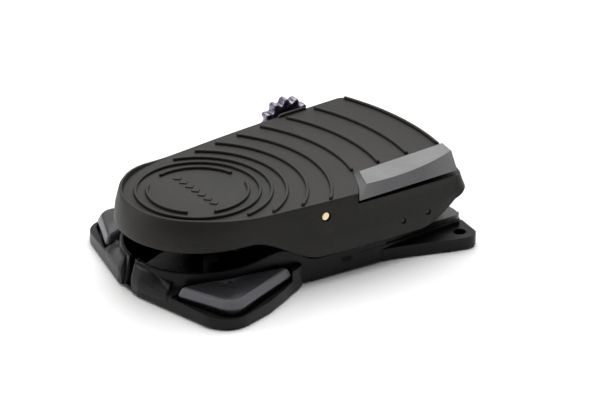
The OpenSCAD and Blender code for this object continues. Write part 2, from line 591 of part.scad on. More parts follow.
module cover_screws() placed() color(steel) for (q = cover_bolts) difference() {
  union() {
    translate([q[0], q[1], base_z + 0.1]) cylinder(d1 = 6, d2 = 3, h = 1.45);
    rod_z(q[0], q[1], base_z + 1.5, base_z + 8.5, 2.6);
  }
  for (a = [0, 90]) translate([q[0], q[1], base_z]) rotate([0, 0, a]) cube([3, 0.7, 1.4], center = true);
}
module battery_door() placed() color(black) difference() {
  union() {
    box(-29.8, 29.8, 96.2, 129.8, base_z, base_z + 2.3);
    for (x = [-20, 12]) box(x, x + 8, 129, 132.5, base_z + 2.3, base_z + 3.6);
    box(-20, 20, 128.4, 129.8, base_z + 2, base_z + 3.6);
  }
  rod_z(0, 100.5, base_z - 1, base_z + 5, 3.4);
  rod_z(0, 100.5, base_z - 1, base_z + 1.2, 6.2);
  for (x = [-10, -5, 5, 10]) box(x, x + 1.4, 112, 126, base_z - 1, base_z + 0.5);
}
module door_screw() placed() color(steel) difference() {
  union() {
    rod_z(0, 100.5, base_z + 0.1, base_z + 1.2, 5.8);
    rod_z(0, 100.5, base_z + 1.2, base_z + 5.2, 2.9);
  }
  translate([0, 100.5, base_z]) cube([4, 0.8, 1.2], center = true);
}
module battery_cells() placed() color([0.15, 0.35, 0.6]) for (y = [108, 119.4]) {
  rod_x(-22, 21.2, y, base_z + 8.6, 10.5);
  rod_x(21.2, 22.2, y, base_z + 8.6, 3.8);
}
module battery_contacts() placed() color(steel) {
  box(22.3, 22.9, 103, 124.4, base_z + 4, base_z + 13);
  box(-23.2, -22.6, 103, 124.4, base_z + 4, base_z + 13);
}
module control_board() placed() color(board_green) {
  difference() {
    box(-40, 40, 140, 186, 9, 10.6);
    for (x = [-36, 36]) for (y = [144, 182]) rod_z(x, y, 8, 12, 3.1);
  }
  box(-10, 10, 150, 166, 10.6, 12.4);
  box(18, 30, 148, 172, 10.6, 12);
  box(-32, -20, 150, 160, 10.6, 13.4);
  rod_z(-26, 174, 10.6, 15.6, 6.3);
}
module board_screws() placed() color(steel) for (x = [-36, 36]) for (y = [144, 182]) {
  rod_z(x, y, 7.8, 9, 5.4);
  rod_z(x, y, 9, 12, 2.9);
  difference() { rod_z(x, y, 10.6, deck_z - wall_t, 6); rod_z(x, y, 9, 12.2, 3); }
}
module rubber_feet() placed() color(rubber) {
  for (s = [-1, 1]) {
    rod_z(s * 82.5, -27.5, 0.6, base_z + 0.75, 32.8);
    translate([s * 82.5, -27.5, 0]) cylinder(d1 = 35.2, d2 = 36, h = base_z);
    rod_z(s * 86, 184, 0.6, base_z + 1.1, 8.8);
    difference() {
      rod_z(s * 86, 184, 0, base_z, 11);
      rod_z(tab_x * s, tab_y, -1, base_z + 1, head_d);
    }
  }
  rod_z(0, -57.5, 0.6, base_z + 1.1, 8.8);
  rod_z(0, -57.5, 0, base_z, 11);
  // pad under the middle of the base, glued to the cover
  rod_z(0, 76, 0, base_z, 13);
}
module stop_pads() placed() color(rubber) for (x = [-stop_x, stop_x]) {
  rod_z(x, pivot_back - stop_y, base_z + wall_t, heel_post_z - stop_drop - 1, 12);
  rod_z(x, pivot_back + stop_y, deck_z, toe_post_z - stop_drop - 1, 12);
}
module rock_spring_toe() placed() color(steel) translate([0, pivot_back + spring_y, deck_z])
  coil(spring_d, 1.6, floor_z - floor_t - deck_z, 8);
module rock_spring_heel() placed() color(steel) translate([0, pivot_back - spring_y, base_z + wall_t])
  coil(spring_d, 1.6, floor_z - floor_t - base_z - wall_t, 10);
module angle_sensor() placed() color(board_green) {
  box(-8, 8, pivot_back - 10, pivot_back + 10, deck_z, deck_z + 1.6);
  box(-2.5, 2.5, pivot_back - 2, pivot_back + 2, deck_z + 1.6, pivot_z - 8);
}

base_housing();
bottom_cover();
cover_screws();
rubber_feet();
battery_door();
door_screw();
battery_cells();
battery_contacts();
control_board();
board_screws();
pivot_bushes();
stop_pads();
rock_spring_toe();
rock_spring_heel();
angle_sensor();
right_switch();
left_switch();
right_spring();
left_spring();
right_cap();
right_plunger();
left_cap();
left_plunger();
foot_plate();
pivot_axle();
axle_clips();
angle_magnet();
side_gasket();
side_switch();
side_spring();
side_pins();
wheel_bush();
wheel_encoder();
side_button();
button_guides();
speed_wheel();
wheel_shaft();
wheel_screw();
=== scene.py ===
"""Rocking foot pedal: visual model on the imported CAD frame.

All sizes below are millimetres in tread coordinates: the origin is the centre of the round heel
end, +X is the side with the side button, +Y points to the toe and z = 0 is the floor. place()
turns them into the metres of the frame, whose origin lies below the rocking axis.
"""
import json
import math

import bmesh
import bpy
from mathutils import Matrix, Vector


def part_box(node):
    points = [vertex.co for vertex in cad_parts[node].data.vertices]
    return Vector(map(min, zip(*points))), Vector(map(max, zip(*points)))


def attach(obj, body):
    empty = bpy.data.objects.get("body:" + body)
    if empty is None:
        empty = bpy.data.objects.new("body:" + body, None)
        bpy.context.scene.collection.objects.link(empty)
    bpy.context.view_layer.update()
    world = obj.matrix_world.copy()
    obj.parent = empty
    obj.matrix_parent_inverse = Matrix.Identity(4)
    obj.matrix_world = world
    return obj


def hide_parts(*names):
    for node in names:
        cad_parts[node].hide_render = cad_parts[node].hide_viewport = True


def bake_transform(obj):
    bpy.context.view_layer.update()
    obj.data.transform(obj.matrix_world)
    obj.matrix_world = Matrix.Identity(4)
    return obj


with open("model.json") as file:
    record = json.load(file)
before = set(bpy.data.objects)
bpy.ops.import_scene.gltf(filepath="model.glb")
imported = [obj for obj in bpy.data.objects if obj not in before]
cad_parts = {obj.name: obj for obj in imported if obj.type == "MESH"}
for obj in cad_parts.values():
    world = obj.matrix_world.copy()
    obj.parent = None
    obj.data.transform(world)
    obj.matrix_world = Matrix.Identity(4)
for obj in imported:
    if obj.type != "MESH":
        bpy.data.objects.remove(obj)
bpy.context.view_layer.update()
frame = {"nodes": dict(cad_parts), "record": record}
scene = bpy.context.scene
PIVOT_BACK = 72.0


def place(x, y, z):
    return (x * 0.001, (y - PIVOT_BACK) * 0.001, z * 0.001)


def smooth(t):
    t = max(0.0, min(1.0, t))
    return t * t * (3 - 2 * t)


def mix(a, b, t):
    return a + (b - a) * t


# ---------------------------------------------------------------- camera
def make_camera():
    az, el, roll = math.radians(54.5), math.radians(26.68), math.radians(0.43)
    back = Vector((math.sin(az) * math.cos(el), -math.cos(az) * math.cos(el), math.sin(el)))
    right = Vector((math.cos(az), math.sin(az), 0))
    up = back.cross(right)
    right, up = (right * math.cos(roll) + up * math.sin(roll), up * math.cos(roll) - right * math.sin(roll))
    cam = bpy.data.objects.new("camera", bpy.data.cameras.new("camera"))
    cam.data.lens = 178.9  # long lens, as the sides of the object hardly converge
    cam.data.sensor_width = 36
    cam.data.clip_end = 50
    cam.matrix_world = Matrix.Translation(Vector((1.7716, -1.236, 1.127))) @ Matrix((
        (right.x, up.x, back.x, 0), (right.y, up.y, back.y, 0), (right.z, up.z, back.z, 0), (0, 0, 0, 1)))
    scene.collection.objects.link(cam)
    scene.camera = cam


# ---------------------------------------------------------------- materials
class Nodes:
    """Short hand for building a node tree."""

    def __init__(self, mat):
        mat.use_nodes = True
        self.tree = mat.node_tree
        self.tree.nodes.clear()
        self.out = self.new("ShaderNodeOutputMaterial")
        self.bsdf = self.new("ShaderNodeBsdfPrincipled")
        self.link(self.bsdf.outputs[0], self.out.inputs[0])
        self.coord = self.new("ShaderNodeTexCoord").outputs["Object"]

    def new(self, kind, **values):
        n = self.tree.nodes.new(kind)
        for k, v in values.items():
            setattr(n, k, v)
        return n

    def link(self, a, b):
        self.tree.links.new(a, b)

    def noise(self, scale, stretch=(1, 1, 1), detail=3.0, rough=0.55, turn=(0, 0, 0)):
        m = self.new("ShaderNodeMapping")
        m.inputs["Scale"].default_value = stretch
        m.inputs["Rotation"].default_value = turn
        self.link(self.coord, m.inputs["Vector"])
        n = self.new("ShaderNodeTexNoise")
        n.inputs["Scale"].default_value = scale
        n.inputs["Detail"].default_value = detail
        n.inputs["Roughness"].default_value = rough
        self.link(m.outputs[0], n.inputs["Vector"])
        return n.outputs["Fac"]

    def cells(self, scale):
        n = self.new("ShaderNodeTexVoronoi")
        n.inputs["Scale"].default_value = scale
        self.link(self.coord, n.inputs["Vector"])
        return n.outputs["Distance"]

    def ramp(self, value, stops):
        n = self.new("ShaderNodeValToRGB")
        ramp = n.color_ramp
        while len(ramp.elements) < len(stops):
            ramp.elements.new(0.5)
        for e, (pos, c) in zip(ramp.elements, stops):
            e.position = pos
            e.color = (*c, 1) if isinstance(c, tuple) else (c, c, c, 1)
        self.link(value, n.inputs[0])
        return n.outputs[0]

    def math(self, op, a, b):
        n = self.new("ShaderNodeMath", operation=op)
        for i, v in enumerate((a, b)):
            if isinstance(v, (int, float)):
                n.inputs[i].default_value = v
            else:
                self.link(v, n.inputs[i])
        return n.outputs[0]

    def blend(self, fac, a, b):
        n = self.new("ShaderNodeMix", data_type="RGBA")
        for socket, v in ((n.inputs[0], fac), (n.inputs[6], a), (n.inputs[7], b)):
            if isinstance(v, (int, float)):
                socket.default_value = v
            elif isinstance(v, tuple):
                socket.default_value = (*v, 1)
            else:
                self.link(v, socket)
        return n.outputs[2]

    def bump(self, height, strength, distance, under=None):
        n = self.new("ShaderNodeBump")
        n.inputs["Strength"].default_value = strength
        n.inputs["Distance"].default_value = distance
        self.link(height, n.inputs["Height"])
        if under is not None:
            self.link(under, n.inputs["Normal"])
        return n.outputs[0]

    def set(self, **sockets):
        for name, v in sockets.items():
            s = self.bsdf.inputs[name.replace("_", " ")]
            if isinstance(v, (int, float)):
                s.default_value = v
            elif isinstance(v, tuple):
                s.default_value = (*v, 1) if len(v) == 3 else v
            else:
                self.link(v, s)


def shade(rgb, k):
    return tuple(max(0.0, c * k) for c in rgb)


def moulded(name, rgb, rough, grain=0.25, grain_scale=2600, edge_wear_and_sheen=0.25, scuffs=0.12, spec=0.5, painted_flank_sheen=1.0):
    """Moulded plastic: fine spark-eroded grain, slow tone changes, faint rub marks, and paler edges that are
    partly edge wear and partly painted highlight.
    Steep and sloping sides are painted paler than the flat top by the flank factor, a painted reflection of
    the bright surroundings."""
    mat = bpy.data.materials.new(name)
    n = Nodes(mat)
    tone = n.ramp(n.noise(38, detail=4), [(0.3, shade(rgb, 0.86)), (0.7, shade(rgb, 1.14))])
    strokes = n.noise(60, stretch=(14, 1.2, 5), detail=5, rough=0.7, turn=(0, 0, 0.6))
    rub = n.ramp(strokes, [(0.56, 0.0), (0.74, 1.0)])
    tone = n.blend(n.math("MULTIPLY", rub, scuffs), tone, shade(rgb, 1.9))
    # edges found by pointiness are painted paler: partly edge wear, partly painted highlight
    edge = n.ramp(n.new("ShaderNodeNewGeometry").outputs["Pointiness"], [(0.505, 0.0), (0.57, 1.0)])
    tone = n.blend(n.math("MULTIPLY", edge, edge_wear_and_sheen), tone, shade(rgb, 2.4))
    # painted reflection: sloping and steep faces get a paler colour chosen by their normal
    if painted_flank_sheen != 1.0:
        parts = n.new("ShaderNodeSeparateXYZ")
        n.link(n.new("ShaderNodeNewGeometry").outputs["Normal"], parts.inputs[0])
        painted_sheen_mask = n.ramp(parts.outputs["Z"], [(0.0, 0.35), (0.3, 1.0), (0.66, 1.0), (0.84, 0.0)])
        tone = n.blend(painted_sheen_mask, tone, shade(rgb, painted_flank_sheen))
    fine = n.cells(grain_scale)
    rough_v = n.math("ADD", n.math("MULTIPLY", n.noise(900, detail=2), 0.14), rough - 0.07)
    rough_v = n.math("SUBTRACT", rough_v, n.math("MULTIPLY", rub, 0.10))
    normal = n.bump(n.noise(55, detail=2), 0.05, 0.002)
    n.set(Base_Color=tone, Roughness=rough_v, Normal=n.bump(fine, grain, 0.00012, normal),
          IOR=1.47, Specular_IOR_Level=spec)
    return mat


def metal(name, rgb, rough, brushed=(1, 1, 60), grime=0.25):
    """Metal with fine tool marks and a little dulling."""
    mat = bpy.data.materials.new(name)
    n = Nodes(mat)
    marks = n.noise(900, stretch=brushed, detail=4, rough=0.7)
    dull = n.ramp(n.noise(160, detail=4), [(0.45, 0.0), (0.8, 1.0)])
    colour = n.blend(n.math("MULTIPLY", dull, grime), rgb, shade(rgb, 0.45))
    r = n.math("ADD", n.math("MULTIPLY", marks, 0.16), rough - 0.05)
    r = n.math("ADD", r, n.math("MULTIPLY", dull, 0.18))
    n.set(Base_Color=colour, Metallic=1.0, Roughness=r, Normal=n.bump(marks, 0.12, 0.0001))
    return mat


def rubber(name):
    mat = bpy.data.materials.new(name)
    n = Nodes(mat)
    tone = n.ramp(n.noise(90, detail=5), [(0.3, 0.005), (0.75, 0.014)])
    n.set(Base_Color=tone, Roughness=n.math("ADD", n.math("MULTIPLY", n.noise(400), 0.2), 0.62),
          Normal=n.bump(n.noise(1500, detail=4), 0.35, 0.0002))
    return mat


def board_green(name):
    """Solder mask with darker track bands."""
    mat = bpy.data.materials.new(name)
    n = Nodes(mat)
    w = n.new("ShaderNodeTexWave")
    w.inputs["Scale"].default_value = 160
    w.inputs["Distortion"].default_value = 2.0
    n.link(n.coord, w.inputs["Vector"])
    tone = n.ramp(w.outputs["Fac"], [(0.35, (0.004, 0.05, 0.022)), (0.6, (0.01, 0.1, 0.045))])
    n.set(Base_Color=tone, Roughness=n.math("ADD", n.math("MULTIPLY", n.noise(300), 0.15), 0.25),
          Normal=n.bump(w.outputs["Fac"], 0.2, 0.0001))
    return mat


def cell_sleeve(name):
    mat = bpy.data.materials.new(name)
    n = Nodes(mat)
    tone = n.ramp(n.noise(120, detail=4), [(0.35, (0.03, 0.09, 0.22)), (0.7, (0.05, 0.14, 0.3))])
    n.set(Base_Color=tone, Roughness=n.math("ADD", n.math("MULTIPLY", n.noise(500), 0.15), 0.22),
          Normal=n.bump(n.noise(220, stretch=(0.2, 1, 1)), 0.1, 0.0003), Coat_Weight=0.4)
    return mat


MATS = {
    "tread_plastic": moulded("tread_plastic", (0.013, 0.0121, 0.0107), 0.48, grain=0.45, edge_wear_and_sheen=0.35,
                             scuffs=0.45, spec=0.26),
    # housing edges are painted strongly paler: partly wear, partly painted highlight along the rims and slot
    # edges
    "housing_plastic": moulded("housing_plastic", (0.0031, 0.003, 0.0031), 0.33, grain=0.16, edge_wear_and_sheen=0.6,
                               spec=0.2),
    # button plastic: its sloping sides are painted paler, a painted reflection
    "button_plastic": moulded("button_plastic", (0.018, 0.0183, 0.0205), 0.34, grain=0.1, grain_scale=3200,
                              edge_wear_and_sheen=0, spec=0.4, painted_flank_sheen=6.4),
    "black_plastic": moulded("black_plastic", (0.005, 0.005, 0.005), 0.3, grain=0.08, spec=0.3),
    "wheel_chrome": metal("wheel_chrome", (0.21, 0.195, 0.26), 0.26, grime=0.55),
    "steel": metal("steel", (0.55, 0.56, 0.58), 0.3),
    "brass": metal("brass", (0.85, 0.68, 0.42), 0.16, grime=0.3),
    "rubber": rubber("rubber"),
    "board": board_green("board"),
    "cell_wrap": cell_sleeve("cell_wrap"),
}


# top panel of the side button: the brushed grain is real, its pale colour is a painted highlight of the lit
# top face
BRUSHED_PAINTED_HIGHLIGHT = moulded("brushed_face_painted_highlight", (0.15, 0.152, 0.152), 0.36, grain=0.1, edge_wear_and_sheen=0, scuffs=0.35, spec=0.5)


def deck_finish():
    """Deck plastic that is glossier towards the toe end, past the skirt of the tread, and painted paler
    there: a painted reflection at the toe, with painted shade left under the skirt.
    """
    mat = bpy.data.materials.new("deck_painted_sheen")
    n = Nodes(mat)
    parts = n.new("ShaderNodeSeparateXYZ")
    n.link(n.coord, parts.inputs[0])
    toe_gloss_and_painted_light = n.ramp(parts.outputs["Y"], [(0.108, 0.0), (0.124, 1.0)])
    tone = n.ramp(n.noise(38, detail=4), [(0.3, 0.85), (0.7, 1.15)])
    # painted light: dark under the skirt as painted shade, pale at the toe as a painted reflection
    colour = n.blend(toe_gloss_and_painted_light, (0.0032, 0.0031, 0.0032), (0.02, 0.02, 0.0195))
    mixed = n.new("ShaderNodeMix", data_type="RGBA", blend_type="MULTIPLY")
    mixed.inputs[0].default_value = 1.0
    n.link(colour, mixed.inputs[6])
    n.link(tone, mixed.inputs[7])
    rough = n.math("ADD", n.math("MULTIPLY", n.noise(900, detail=2), 0.14), 0.23)
    n.set(Base_Color=mixed.outputs[2], Roughness=rough,
          Specular_IOR_Level=n.math("ADD", n.math("MULTIPLY", toe_gloss_and_painted_light, 0.8), 0.2),
          Normal=n.bump(n.cells(2600), 0.12, 0.00012), IOR=1.47)
    return mat


DECK_PAINTED_LIGHT = deck_finish()
BLUED = metal("blued_steel", (0.06, 0.06, 0.065), 0.42)
MARK = moulded("mark_face", (0.007, 0.007, 0.008), 0.5, grain=0.1, edge_wear_and_sheen=0, spec=0.2)


# ---------------------------------------------------------------- mesh helpers
def build(name, verts, faces):
    """A mesh object from tread coordinates, with its normals turned outward."""
    me = bpy.data.meshes.new(name)
    me.from_pydata([place(*v) for v in verts], [], faces)
    bm = bmesh.new()
    bm.from_mesh(me)
    bmesh.ops.remove_doubles(bm, verts=bm.verts, dist=1e-6)
    bmesh.ops.recalc_face_normals(bm, faces=bm.faces)
    bm.to_mesh(me)
    bm.free()
    o = bpy.data.objects.new(name, me)
    scene.collection.objects.link(o)
    return o


def loft(name, rows, ends="fan", ring=False):
    """Skin over closed rows of points. ends: "fan" closes them to their mean, "flat" with one face."""
    n, m = len(rows[0]), len(rows)
    verts = [p for r in rows for p in r]
    faces = []
    for k in range(m if ring else m - 1):
        a, b = k * n, (k + 1) % m * n
        faces += [(a + i, a + (i + 1) % n, b + (i + 1) % n, b + i) for i in range(n)]
    if not ring:
        for k, base in ((0, 0), (m - 1, (m - 1) * n)):
            if ends == "flat":
                faces.append(tuple(base + i for i in range(n)))
            else:
                verts.append(tuple(sum(p[j] for p in rows[k]) / n for j in range(3)))
                faces += [(base + i, base + (i + 1) % n, len(verts) - 1) for i in range(n)]
    return build(name, verts, faces)


def prism(name, plan, z0, z1):
    """Upright prism; z0 and z1 are numbers or functions of a plan point."""
    lo = [(x, y, z0((x, y)) if callable(z0) else z0) for x, y in plan]
    hi = [(x, y, z1((x, y)) if callable(z1) else z1) for x, y in plan]
    return loft(name, [lo, hi], ends="flat")


def turned(name, profile, centre, axis="z", segments=64):
    """Solid of revolution: profile is [(radius, height)] from one end of the axis to the other."""
    rows = []
    for i in range(segments):
        a = math.radians(360 * i / segments)
        rows.append([(r * math.cos(a), r * math.sin(a), h) for r, h in profile])
    out = []
    for row in rows:
        line = []
        for u, v, h in row:
            line.append({"z": (centre[0] + u, centre[1] + v, centre[2] + h),
                         "x": (centre[0] + h, centre[1] + u, centre[2] + v)}[axis])
        out.append(line)
    n, m = len(profile), segments
    verts = [p for r in out for p in r]
    faces = []
    for k in range(m):
        a, b = k * n, (k + 1) % m * n
        for i in range(n - 1):
            faces.append((a + i, a + i + 1, b + i + 1, b + i))
    return build(name, verts, faces)


def pin(name, centre, radius, length, axis="x", chamfer=0.3, segments=48):
    c = chamfer
    return turned(name, [(0.001, 0), (radius - c, 0), (radius, c), (radius, length - c),
                         (radius - c, length), (0.001, length)], centre, axis, segments)


def plain(name, centre, radius, length, axis="z", segments=48):
    """Cutter: closed cylinder."""
    rows = []
    for h in (0.0, length):
        row = []
        for i in range(segments):
            a = 2 * math.pi * i / segments
            u, v = radius * math.cos(a), radius * math.sin(a)
            row.append((centre[0] + u, centre[1] + v, centre[2] + h) if axis == "z"
                       else (centre[0] + h, centre[1] + u, centre[2] + v))
        rows.append(row)
    return loft(name, rows, ends="flat")


def cuboid(name, x0, x1, y0, y1, z0, z1):
    return prism(name, [(x0, y0), (x1, y0), (x1, y1), (x0, y1)], z0, z1)


def combine(o, others, op="DIFFERENCE"):
    """Boolean of o with each of the others, baked into o."""
    for c in others:
        m = o.modifiers.new("cut", "BOOLEAN")
        m.operation, m.object, m.solver = op, c, "EXACT"
    deps = bpy.context.evaluated_depsgraph_get()
    me = bpy.data.meshes.new_from_object(o.evaluated_get(deps))
    o.modifiers.clear()
    o.data = me
    for c in others:
        bpy.data.objects.remove(c)
    return o


def finish_piece(o, body, slot, *nodes, round_mm=0.4, angle=34, segments=3, mat=None):
    """Rounded edges, material, body and the CAD nodes that the piece stands for."""
    o.data.materials.clear()
    o.data.materials.append(mat or MATS[slot])
    for p in o.data.polygons:
        p.use_smooth = True
        p.material_index = 0
    if round_mm:
        b = o.modifiers.new("rounding", "BEVEL")
        b.width, b.segments, b.limit_method = round_mm * 0.001, segments, "ANGLE"
        b.angle_limit, b.harden_normals, b.use_clamp_overlap = math.radians(angle), True, True
        b.miter_outer = "MITER_ARC"
    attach(o, body)
    if nodes:
        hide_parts(*nodes)
    return o


def joined(name, objs):
    bpy.ops.object.select_all(action="DESELECT")
    for o in objs:
        o.select_set(True)
    bpy.context.view_layer.objects.active = objs[0]
    bpy.ops.object.join()
    objs[0].name = name
    objs[0].data.name = name
    return objs[0]


# ---------------------------------------------------------------- outlines and heights
HEEL_R, TOE_R, CORNER_R = 65.0, 216.0, 8.0
FLARE_HEEL, FLARE_TOE = 6.4, 2.4  # how far the sides spread, in degrees
TAN_F, TAN_T = math.tan(math.radians(FLARE_HEEL)), math.tan(math.radians(FLARE_TOE))
FLOOR_Z, FLOOR_T, SKIRT_T = 70.0, 3.0, 2.8
TAN_D = math.tan(math.radians(6))
KICK = 0.22  # outward lean of the skirt at the toe, per mm of its height
LIP_H, LIP_LEAN = 4.5, 2.6
PIVOT_Z, AXLE_R = 57.5, 3.175
SPRING_Y, STOP_X, STOP_Y = 31, 15, 70
BASE_R, BASE_Z, DECK_Z, DECK_END = 62.8, 1.5, 20.5, 210.0
WALL_T = 3
TAB_X, TAB_Y, TAB_Z = 85, 199.3, 11.5


def half_w(y):
    """Half width of the tread at y; its sides turn from the heel's flare to the toe's."""
    t = 0.0 if y < 60 else ((y - 60) ** 2 / 160 if y < 140 else 40 + y - 140)
    return HEEL_R / math.cos(math.radians(FLARE_HEEL)) + y * TAN_F + (TAN_T - TAN_F) * t


def slope(y):
    """How fast half_w grows at y."""
    return TAN_F + (TAN_T - TAN_F) * max(0.0, min(1.0, (y - 60) / 80))


def mirror_line(side):
    return [(-x, y, -nx, ny) for x, y, nx, ny in reversed(side[1:])]


def tread_outline():
    cx = half_w(190) - CORNER_R
    cy = math.sqrt((TOE_R - CORNER_R) ** 2 - cx * cx)
    ca = math.degrees(math.atan2(cy, cx))
    side = []
    for i in range(44):
        a = math.radians(-90 + i * 83.6 / 44)
        side.append((HEEL_R * math.cos(a), HEEL_R * math.sin(a), math.cos(a), math.sin(a)))
    y0 = -HEEL_R * math.sin(math.radians(FLARE_HEEL))
    for i in range(97):
        y = y0 + i * (cy - y0) / 96
        l = math.hypot(1, slope(y))
        side.append((half_w(y), y, 1 / l, -slope(y) / l))
    for i in range(1, 13):
        a = math.radians(-FLARE_TOE + i * (ca + FLARE_TOE) / 12)
        side.append((cx + CORNER_R * math.cos(a), cy + CORNER_R * math.sin(a), math.cos(a), math.sin(a)))
    for i in range(1, 24):
        a = math.radians(ca + i * (90 - ca) / 24)
        side.append((TOE_R * math.cos(a), TOE_R * math.sin(a), math.cos(a), math.sin(a)))
    return side + [(0.0, TOE_R, 0.0, 1.0)] + mirror_line(side)


def off(p, d, z):
    """Point at height z, d outside the outline point p."""
    return (p[0] + d * p[2], p[1] + d * p[3], z)


def skirt_z(y):
    """Height of the lower edge of the skirt."""
    z = 48.5 + (24.5 - 48.5) * smooth((y - 5) / 63)
    if y > 160:
        z += 26 * ((y - 160) / 45) ** 1.7
    return min(54.0, z)


def skirt_off(z):
    """Outward draft of the skirt at height z."""
    return (FLOOR_Z - z) * TAN_D


def lip(y):
    """Extra height of the rim round the heel end; none past y = 20."""
    return LIP_H * (1 - smooth((y + 40) / 60))


def wall_top(y):
    """Height of the tub wall, which rises a little past the heel and falls to the deck at the axle."""
    if y < 33:
        return 29 + 6 * smooth(y / 33)
    return 35 + (DECK_Z - 35) * smooth((y - 33) / 35)


TREAD = tread_outline()
WEDGE_X, WEDGE_ARC, TRAY_Z = 44.0, 127.5, 61.4
SIDE_PINS = [(143.7, 35.9), (168.0, 37.6)]
WHEEL_Y, WHEEL_Z, WHEEL_R, WHEEL_W = 145.5, 55.5, 24.5, 9.0
WHEEL_X = half_w(WHEEL_Y) + skirt_off(WHEEL_Z - WHEEL_R) + 1.6
AXLE_ENDS = half_w(PIVOT_BACK) + skirt_off(PIVOT_Z)


# ---------------------------------------------------------------- tread
def tread_shell():
    profile = []
    for p in TREAD:
        y, zb, top = p[1], skirt_z(p[1]), FLOOR_Z + lip(p[1])
        kick = KICK * (FLOOR_Z - zb) * max(0.0, p[3])
        so = skirt_off(zb) + kick
        up = lip(y) / LIP_H
        ln = LIP_LEAN * up
        thirds = [(k, mix(FLOOR_Z - 3, zb, k)) for k in (0.33, 0.66)]
        profile.append([
            off(p, -3.9 - ln, FLOOR_Z), off(p, -3.3 - ln, FLOOR_Z + 0.25 * up),
            off(p, -2.9 - ln, FLOOR_Z + 1.0 * up),
            off(p, -2.45 - ln, top - 0.9 * up), off(p, -2.2 - ln, top - 0.3 * up), off(p, -1.75 - ln, top),
            off(p, -1.05 - ln, top), off(p, -0.5 - ln, top - 0.2), off(p, -0.12 - ln, top - 0.7),
            off(p, 0.1 - ln * 0.8, top - 1.7),
            *[off(p, skirt_off(z) + k * kick, z) for k, z in thirds],
            off(p, so, zb + 1.0), off(p, so - 0.25, zb + 0.3), off(p, so - 0.8, zb),
            off(p, so - 2.1, zb), off(p, so - 2.6, zb + 0.3), off(p, so - 2.8, zb + 1.0),
            off(p, skirt_off(64) - SKIRT_T, max(64.0, zb + 2)), off(p, skirt_off(67) - SKIRT_T - 0.8, 66.2),
            off(p, -5.5, 67)])
    rows = [[column[k] for column in profile] for k in range(len(profile[0]))]
    shell = loft("tread_shell", rows, ends="flat")
    arc = [(WEDGE_ARC * math.cos(math.radians(a)), WEDGE_ARC * math.sin(math.radians(a)))
           for a in [math.degrees(math.acos(WEDGE_X / WEDGE_ARC)) - i for i in range(33)]]
    tray_cut = prism("tray_cut", [(WEDGE_X, 230), *arc, (120, arc[-1][1]), (120, 230)], TRAY_Z, 90)
    cutters = [tray_cut]
    for s in (-1, 1):
        cutters.append(plain("c", (s * AXLE_ENDS - 4, PIVOT_BACK, PIVOT_Z), AXLE_R + 0.02, 8, "x"))
        x = AXLE_ENDS - 0.9 if s > 0 else -AXLE_ENDS - 3
        cutters.append(plain("c", (x, PIVOT_BACK, PIVOT_Z), AXLE_R + 1.3, 3.9, "x"))
    for y, z in SIDE_PINS:
        cutters.append(plain("c", (half_w(y) - 7, y, z), 2.6, 20, "x"))
    return combine(shell, cutters)


def arc_rail(r, a0, a1, profile, step=2.0):
    """Sections of a rib along its arc, from angle a0 to a1."""
    n = max(2, int((a1 - a0) / step))
    rows = []
    for i in range(n + 1):
        a = math.radians(a0 + (a1 - a0) * i / n)
        rows.append([((r + d) * math.cos(a), (r + d) * math.sin(a), FLOOR_Z + h) for d, h in profile])
    return rows


RIB_R1, RIB_PITCH = 39, 9.3
RIB = [(0, -0.6), (2.8, -0.6), (2.62, 1.4), (2.35, 2.15), (1.9, 2.3), (0.9, 2.3), (0.45, 2.15), (0.18, 1.4)]


def rib_radius(k):
    """The ribs are evenly spaced at the heel and spread out towards the toe."""
    return RIB_R1 + max(RIB_PITCH * k, 5.7 * k + 1.495 * k * k)


def rib_reach(r, more):
    """Angle from the centreline at which a rib of radius r stops short of the edge."""
    a = 70.0
    for _ in range(12):
        y = r * math.cos(math.radians(a))
        a = math.degrees(math.asin(min(0.99, (half_w(y) - max(2.6, 5.6 - 0.04 * y) - more) / r)))
    return a


def tread_ribs():
    parts = [loft("rib", arc_rail(RIB_R1, a, a + 90, RIB), ends="flat") for a in (-15, 105, 225)]
    parts.append(loft("rib", arc_rail(rib_radius(1), 0, 358, RIB), ring=True))
    for k in range(2, 10):
        r = rib_radius(k)
        right = math.degrees(math.acos((WEDGE_X - 3.6) / r)) if k >= 6 else 90 - rib_reach(r, 0)
        left = 90 + rib_reach(r, 6 - 0.7 * max(0, k - 5))
        parts.append(loft("rib", arc_rail(r, right, left, RIB, 1.5), ends="flat"))
    return joined("tread_ribs", parts)


def tread_badge():
    """Plain row of chevrons inside the innermost ring."""
    parts = []
    for i in range(-3, 4):
        pts = [(-3, -3.6), (-0.7, -3.6), (2.6, 0), (-0.7, 3.6), (-3, 3.6), (0.3, 0)]
        parts.append(prism("chevron", [(x + i * 8.8, y - 1) for x, y in pts], FLOOR_Z - 0.4, FLOOR_Z + 0.9))
    return joined("tread_badge", parts)


def tray():
    """Tray of the side button: floor, curved heel wall and straight inner wall."""
    line = [off(p, -1, 0)[:2] for p in TREAD if p[0] > 0 and p[1] > 60]

    def plan(grow, keep):
        r = WEDGE_ARC - grow
        a0 = math.degrees(math.acos((WEDGE_X - grow) / r))
        pts = []
        edge = [q for q in keep if math.hypot(*q) > r and q[0] > WEDGE_X - grow]
        a1 = math.degrees(math.atan2(edge[0][1], edge[0][0]))
        for i in range(25):
            a = math.radians(mix(a0, a1, i / 24))
            pts.append((r * math.cos(a), r * math.sin(a)))
        pts += edge
        toe = math.sqrt((TOE_R - 1) ** 2 - (WEDGE_X - grow) ** 2)
        pts.append((WEDGE_X - grow, toe))
        return pts
    floor = prism("tray_floor", plan(2.4, line), TRAY_Z - 2.4, TRAY_Z)
    inner, outer = plan(0, line), plan(2.4, line)
    wall = [inner[i] for i in range(25)] + [outer[i] for i in range(24, -1, -1)]
    heel = prism("tray_wall", wall, TRAY_Z - 0.5, FLOOR_Z - 0.3)
    side = cuboid("tray_side", WEDGE_X - 2.4, WEDGE_X, inner[0][1] - 1.5, inner[-1][1],
                  TRAY_Z - 0.5, FLOOR_Z - 0.3)
    return joined("wedge_tray", [floor, heel, side])


